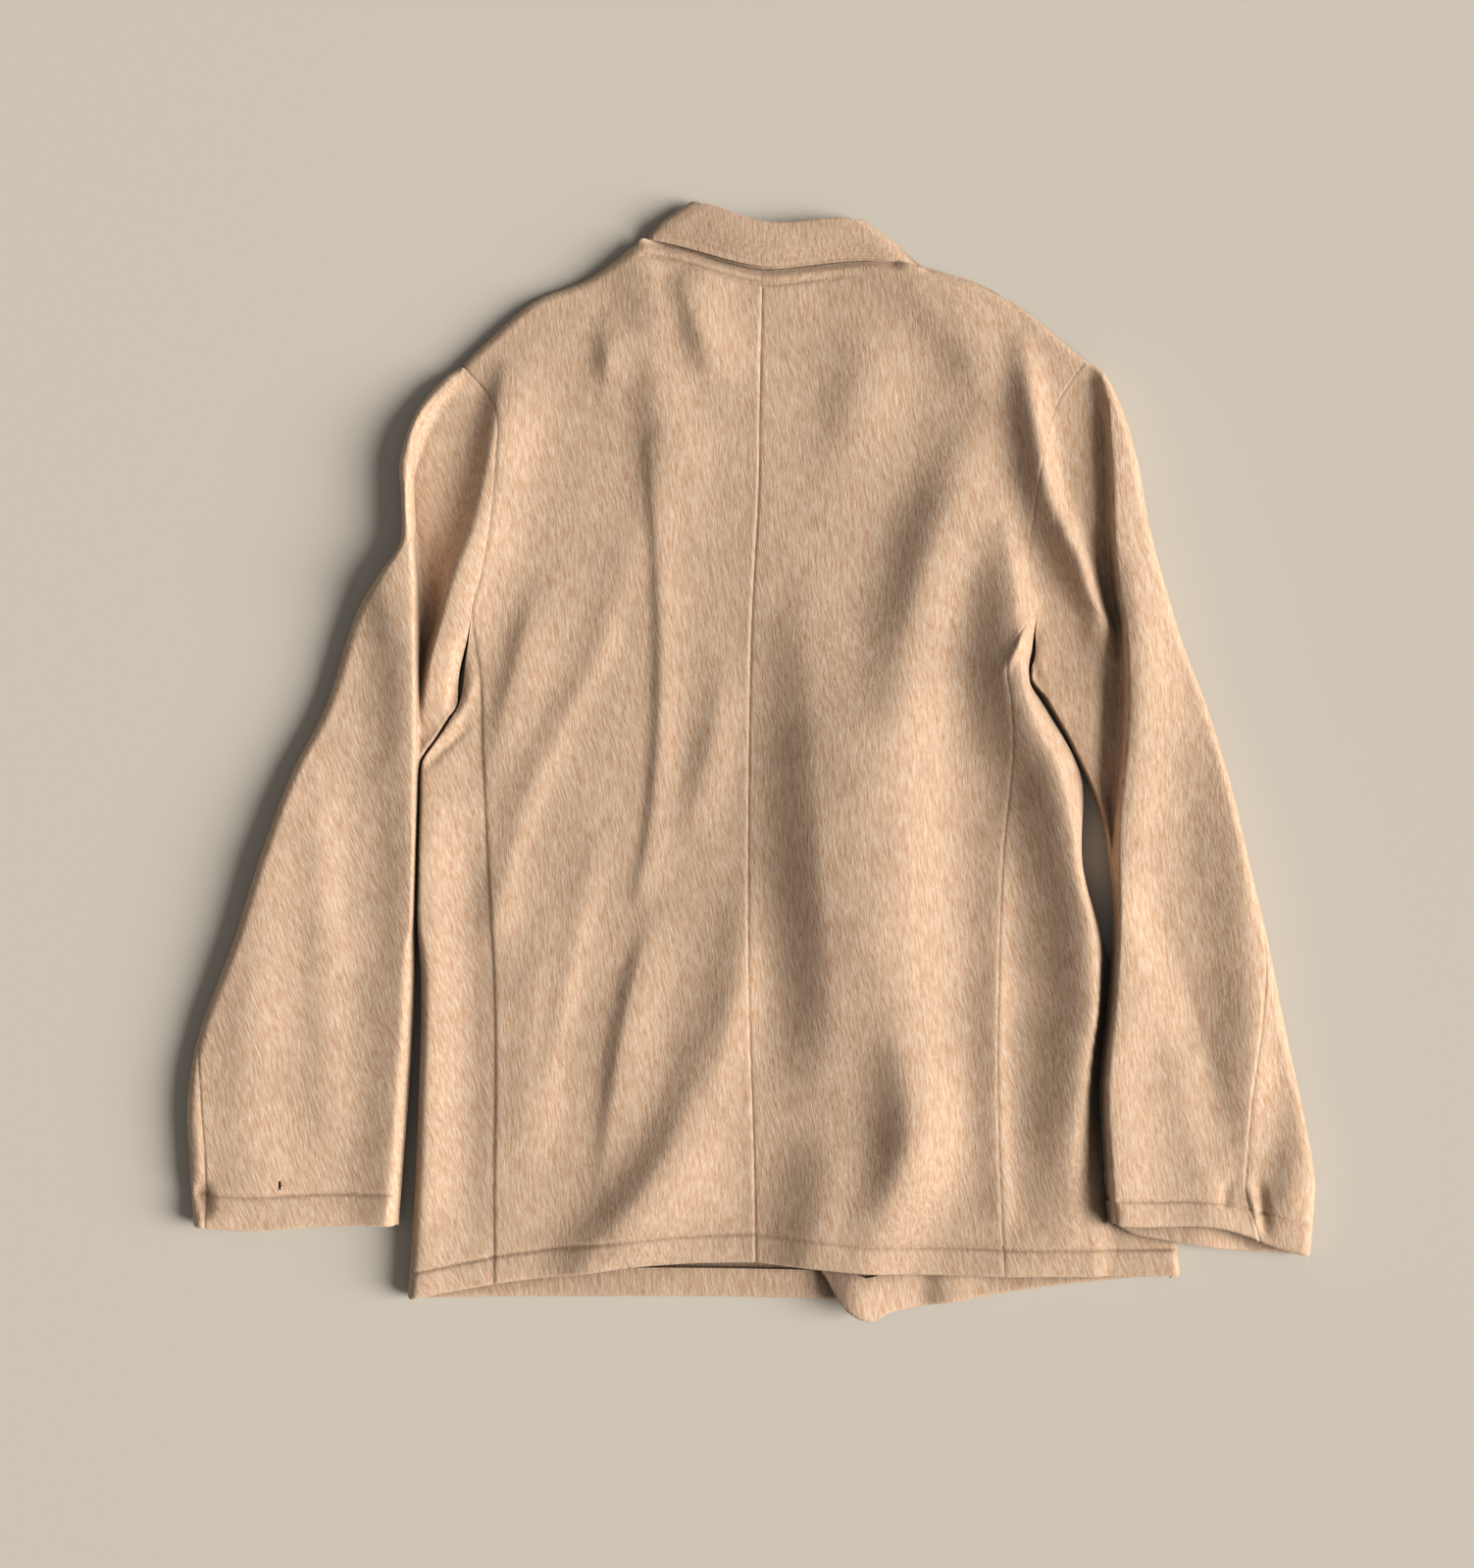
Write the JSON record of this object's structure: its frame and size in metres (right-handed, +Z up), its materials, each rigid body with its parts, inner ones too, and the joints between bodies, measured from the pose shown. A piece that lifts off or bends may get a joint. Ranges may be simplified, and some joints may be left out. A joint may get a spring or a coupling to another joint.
{
  "type": "wool jacket laid face down",
  "caption": "Thick brushed-wool jacket with a low stand collar and straight hem, laid flat face down with its sleeves beside it.",
  "frame": {"origin": "centre of the jacket's bounding box, on the surface it lies on", "axes": "+X towards the wearer's right sleeve, +Y from the hem towards the collar, +Z up off the surface; the back of the jacket faces up"},
  "size_m": [0.805, 0.7998, 0.0303],
  "materials": {
    "wool": "thick napped wool coating, camel, matt with a soft brushed surface"
  },
  "bodies": {
    "root": {"back_left": "wool", "back_right": "wool", "side_left": "wool", "side_right": "wool", "front_left": "wool", "front_right": "wool", "sleeve_left_back": "wool", "sleeve_left_front": "wool", "sleeve_right_back": "wool", "sleeve_right_front": "wool", "collar": "wool"}
  },
  "joints": []
}
